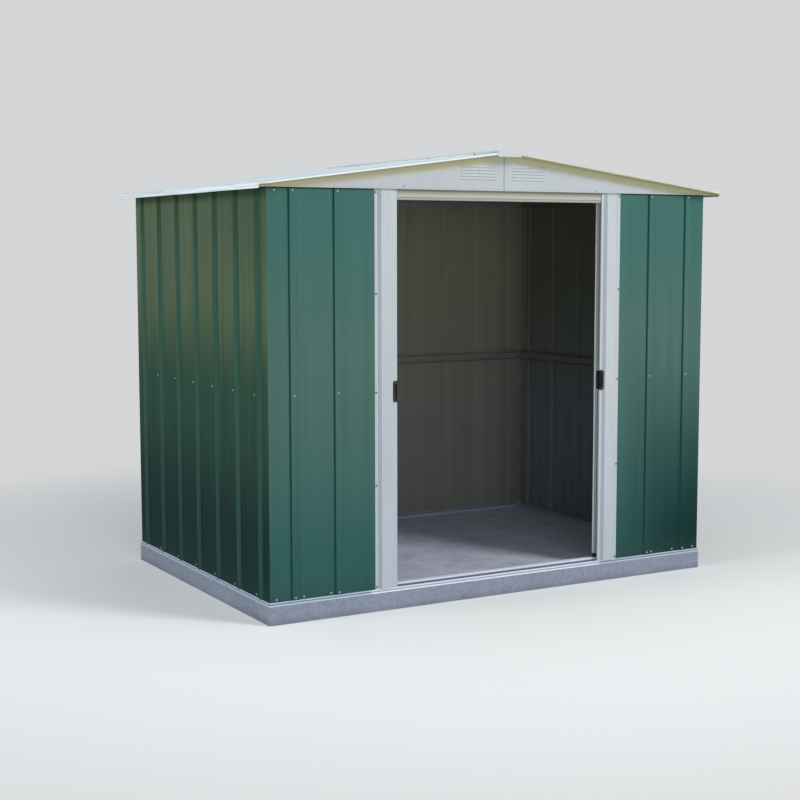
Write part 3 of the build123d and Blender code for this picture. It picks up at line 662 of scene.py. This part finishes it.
def blackPlastic():
    finish = Finish("black_plastic", IOR=1.46)
    grain = finish.noise(900.0, 2.0, 0.5)
    scuff = finish.noise(40.0, 4.0, 0.7)
    finish.feed("Base Color", finish.blend((scuff - 0.4) * 0.6, plastic["black"], plastic["scuffed"]))
    finish.feed("Roughness", 0.42 + (scuff - 0.5) * 0.3)
    finish.bump(grain, 0.3, 0.0002)
    return finish.material


finishes = {
    "green_sheet": greenSheet(),
    "white_trim": whitePaint("white_trim", whites["trim"], whites["trimWorn"], trimDetails),
    "gable_white": whitePaint("gable_white", whites["gable"], whites["gableWorn"], gableDetails),
    "roof_white": whitePaint("roof_white", whites["roof"], whites["roofWorn"], roofDetails),
    "concrete": concrete(),
    "zinc_rail": zinc("zinc_rail", "rail", "railDull", 0.15),
    "galvanized_frame": zinc("galvanized_frame", "frame", "frameDull", 0.5),
    "black_plastic": blackPlastic(),
}
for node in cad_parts.values():
    for holder in node.material_slots:
        holder.material = finishes[holder.material.name.split(".")[0]]
print("materials made for", len(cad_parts), "nodes")

screw = {
    "washer": 0.0062,                # radius
    "washerThick": 0.0011,
    "washerTaper": 0.86,             # its upper face over its lower one
    "head": 0.003198,                # radius
    "headHigh": 0.0024,
    "headFoot": -0.0001,             # goes right through the washer
    "sides": 12,
    "turn": 0.7,                     # each screw is turned on by this angle
    # tone, worn tone, roughness and metal
    "screw_zinc": (tone(190, 202, 198), tone(146, 156, 152), 0.35, 0.5),
    "screw_dark": (tone(48, 54, 58), tone(70, 74, 76), 0.4, 0.4),
    "screw_dull": (tone(112, 116, 118), tone(84, 88, 90), 0.4, 0.4),
    "washer_green": (tone(66, 106, 98), tone(50, 86, 78), 0.5, 0.0),
    "washer_white": (tone(196, 202, 208), tone(170, 174, 178), 0.5, 0.0),
    "washer_dull": (tone(150, 158, 164), tone(126, 132, 138), 0.5, 0.2),
}


def screwFinish(name):
    colour, worn, rough, metal = screw[name]
    finish = Finish(name, Metallic=metal, IOR=1.5)
    cloud = finish.noise(420.0, 3.0, 0.6)
    finish.feed("Base Color", finish.blend((cloud - 0.3) * 0.8, colour, worn))
    finish.feed("Roughness", rough + (cloud - 0.5) * 0.25)
    finish.bump(cloud, 0.15, 0.0002)
    return finish.material


zincHead = screwFinish("screw_zinc")
darkHead = screwFinish("screw_dark")
greenWasher = screwFinish("washer_green")
whiteWasher = screwFinish("washer_white")
dullHead = screwFinish("screw_dull")
dullWasher = screwFinish("washer_dull")


def makeDisc(radius, foot, thick, fill, finish):
    # a short cylinder that stands on foot
    bpy.ops.mesh.primitive_cylinder_add(vertices=screw["sides"], radius=radius, depth=thick,
                                        end_fill_type=fill, location=(0, 0, foot + thick / 2))
    disc = bpy.context.object
    disc.data.materials.append(finish)
    return disc


def makeScrew(headFinish, washerFinish):
    # plain round head in a washer that narrows upwards, facing +Z
    deselect()
    washer = makeDisc(screw["washer"], 0, screw["washerThick"], "TRIFAN", washerFinish)
    bpy.ops.object.mode_set(mode="EDIT")
    bpy.ops.mesh.select_all(action="DESELECT")
    bpy.ops.object.mode_set(mode="OBJECT")
    for face in washer.data.polygons:
        face.select = face.normal.z > 0.9
    bpy.ops.object.mode_set(mode="EDIT")
    bpy.ops.transform.resize(value=(screw["washerTaper"], screw["washerTaper"], 1))
    bpy.ops.object.mode_set(mode="OBJECT")
    head = makeDisc(screw["head"], screw["headFoot"], screw["headHigh"], "NGON", headFinish)
    made = joinAll([washer, head], "screw_master")
    bpy.ops.object.shade_smooth_by_angle(angle=math.radians(40))
    return made


def setScrews(name, master, places):
    # copies of the screw at each place, turned to face along the second vector
    copies = []
    for place, way in places:
        copy = master.copy()
        copy.data = master.data.copy()
        turn = Vector(way).to_track_quat("Z", "Y").to_matrix().to_4x4()
        spin = Matrix.Rotation(screw["turn"] * len(copies), 4, "Z")
        copy.matrix_world = Matrix.Translation(place) @ turn @ spin
        bpy.context.collection.objects.link(copy)
        copies.append(copy)
    joined = joinAll(copies, name)
    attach(joined, "shed")


greenScrew = makeScrew(zincHead, greenWasher)
jambScrew = makeScrew(darkHead, dullWasher)
gableScrew = makeScrew(dullHead, whiteWasher)
# The screws under the eaves get dark heads as painted shade.
shadedScrew = makeScrew(darkHead, greenWasher)
roofScrew = makeScrew(whiteWasher, whiteWasher)

wallScrews = {
    "rows": (0.1105, 0.982, 1.8455),     # heights, for every rib of the front and rear
    "leftCorner": 0.0365,                # one more at the top, from the left corner
    "footExtras": (0.0305, 0.161, 0.292),    # on the flats of the front, from the corners
    "rearRibs": range(-5, 6),
    "sideRows": (0.1105, 0.980),
    "sideTop": 1.8445,                   # the row under the eaves
    "sideRibs": range(-3, 3),
    "besideRib": 0.046,
}
halfWidth, halfDepth = walls["halfWidth"], walls["halfDepth"]
bothSides = (-1, 1)


def sidePoints(height):
    return [((side * halfWidth, step * walls["sidePitch"] + wallScrews["besideRib"], height), (side, 0, 0))
            for side in bothSides for step in wallScrews["sideRibs"]]


def wallPoints():
    rows, ribFace = wallScrews["rows"], halfDepth + walls["ribHeight"]
    places = []
    for side, ribs in ((-1, walls["leftRibs"]), (1, walls["rightRibs"])):
        for height in rows:
            for along in ribs:
                places.append(((side * (halfWidth - along), -ribFace, height), (0, -1, 0)))
        for along in wallScrews["footExtras"]:
            places.append(((side * (halfWidth - along), -halfDepth, rows[0]), (0, -1, 0)))
    places.append(((wallScrews["leftCorner"] - halfWidth, -halfDepth, rows[-1]), (0, -1, 0)))
    for height in wallScrews["sideRows"]:
        places += sidePoints(height)
    for height in rows:
        for step in wallScrews["rearRibs"]:
            places.append(((step * walls["rearPitch"], ribFace, height), (0, 1, 0)))
    return places


setScrews("wall_screws", greenScrew, wallPoints())
setScrews("eave_screws", shadedScrew, sidePoints(wallScrews["sideTop"]))
print("wall screws set")

trimScrews = {
    "jambStart": 0.512,                  # outer edge of a jamb, from the corner of the shed
    "jambEdge": 0.006,                   # the screws stand inwards of it
    "jambFace": 0.002,                   # how far the jamb's and the gable's faces stand out
    "jambRows": (0.1105, 0.5647, 0.9754, 1.4058, 1.8436),
    "gableFace": 0.006,
    "gableAlong": (0.52, 0.863),
    "gableRow": 1.8695,
}


def jambPoints():
    along = halfWidth - trimScrews["jambStart"] - trimScrews["jambEdge"]
    return [((side * along, -halfDepth - trimScrews["jambFace"], height), (0, -1, 0))
            for side in bothSides for height in trimScrews["jambRows"]]


def gablePoints():
    face = halfDepth + trimScrews["gableFace"]
    return [((side * along, way * face, trimScrews["gableRow"]), (0, way, 0))
            for side in bothSides for way in bothSides for along in trimScrews["gableAlong"]]


roofScrews = {
    "halfDepth": 0.8395,
    "flats": 8,                          # flats between the ribs of each slope
    "sheet": 0.002,
    # distance from the ridge, and the flats that have a screw there
    "rows": ((0.105, range(8)), (0.589, range(1, 7)), (1.195, range(8))),
}


def roofPoints():
    angle = math.atan(walls["slope"])
    pitch = 2 * roofScrews["halfDepth"] / roofScrews["flats"]
    places = []
    for side in bothSides:
        for along, steps in roofScrews["rows"]:
            height = walls["ridge"] - along * walls["slope"] + roofScrews["sheet"] / math.cos(angle)
            for step in steps:
                across = (step + 0.5) * pitch - roofScrews["halfDepth"]
                places.append(((side * along, across, height), (side * math.sin(angle), 0, math.cos(angle))))
    return places


setScrews("jamb_screws", jambScrew, jambPoints())
setScrews("gable_screws", gableScrew, gablePoints())
setScrews("roof_screws", roofScrew, roofPoints())
for master in (greenScrew, jambScrew, gableScrew, shadedScrew, roofScrew):
    bpy.data.objects.remove(master)
print("trim and roof screws set")

studio = {
    "floor": tone(240, 241, 242),
    "floorWorn": tone(234, 236, 238),
    "floorSize": 60,
    "nearFloor": 1.5,                    # metres from the middle, where the floor starts to fade out
    "farFloor": 4.5,
    "pale": (0.66, 0.67, 0.68, 1),       # far floor and background
    "sky": (0.90, 0.96, 1.0, 1),
    "skyPower": 0.42,
    # place, target, size, power and colour
    "key": ((3.0, -5.6, 5.6), (0, 0, 0.9), 2.4, 300, (1.0, 0.99, 0.96)),
    "front": ((-2.2, -7.2, 1.5), (0.3, 0.8, 1.0), 2.6, 96, (0.97, 0.98, 1.0)),
    "left": ((-6.2, -0.6, 4.4), (-1.2, 0, 1.4), 3.0, 190, (0.97, 0.99, 1.0)),
}


def layFloor():
    # a plain floor that fades into the background
    bpy.ops.mesh.primitive_plane_add(size=studio["floorSize"], location=(0, 0, 0))
    floor = bpy.context.object
    floor.name = "studio_floor"
    ground = Finish("studio_floor", Roughness=0.9, Specular_IOR_Level=0.0)
    worn = ground.noise(0.8, 2.0) * 0.3
    ground.feed("Base Color", ground.blend(worn, studio["floor"], studio["floorWorn"]))
    away = ground.node("VectorMath", {"operation": "LENGTH"}, {0: ground.place}, 1)
    cameraRay = ground.node("LightPath", {}, {})
    shown = ground.smooth(away, studio["nearFloor"], studio["farFloor"]) * cameraRay
    plain = ground.node("Emission", {}, {"Color": studio["pale"], "Strength": 1.0})
    surface = ground.node("MixShader", {}, {0: shown, 1: Wire(ground, ground.shader.outputs[0]), 2: plain})
    ground.tree.links.new(surface.socket, ground.tree.nodes["Material Output"].inputs["Surface"])
    floor.data.materials.append(ground.material)


def hangSky():
    # lights the shed, while the camera and mirror rays see the plain background
    world = bpy.data.worlds.new("studio")
    bpy.context.scene.world = world
    world.use_nodes = True
    links, nodes = world.node_tree.links, world.node_tree.nodes
    sky = nodes["Background"]
    sky.inputs["Color"].default_value = studio["sky"]
    sky.inputs["Strength"].default_value = studio["skyPower"]
    backdrop = nodes.new("ShaderNodeBackground")
    backdrop.inputs["Color"].default_value = studio["pale"]
    path = nodes.new("ShaderNodeLightPath")
    seen = path.outputs["Is Camera Ray"]
    for ray in ("Is Glossy Ray", "Is Transmission Ray"):
        either = nodes.new("ShaderNodeMath")
        either.operation = "MAXIMUM"
        links.new(seen, either.inputs[0])
        links.new(path.outputs[ray], either.inputs[1])
        seen = either.outputs[0]
    mixed = nodes.new("ShaderNodeMixShader")
    links.new(seen, mixed.inputs[0])
    links.new(sky.outputs[0], mixed.inputs[1])
    links.new(backdrop.outputs[0], mixed.inputs[2])
    links.new(mixed.outputs[0], nodes["World Output"].inputs["Surface"])


def areaLight(name):
    place, target, size, power, colour = studio[name]
    bpy.ops.object.light_add(type="AREA", location=place)
    lamp = bpy.context.object
    lamp.name = name
    lamp.data.shape = "DISK"
    lamp.data.size = size
    lamp.data.energy = power
    lamp.data.color = colour
    lamp.rotation_euler = (Vector(target) - Vector(place)).to_track_quat("-Z", "Y").to_euler()


layFloor()
hangSky()
for lampName in ("key", "front", "left"):
    areaLight(lampName)
print("studio lit")

bpy.context.scene.view_settings.view_transform = "Standard"
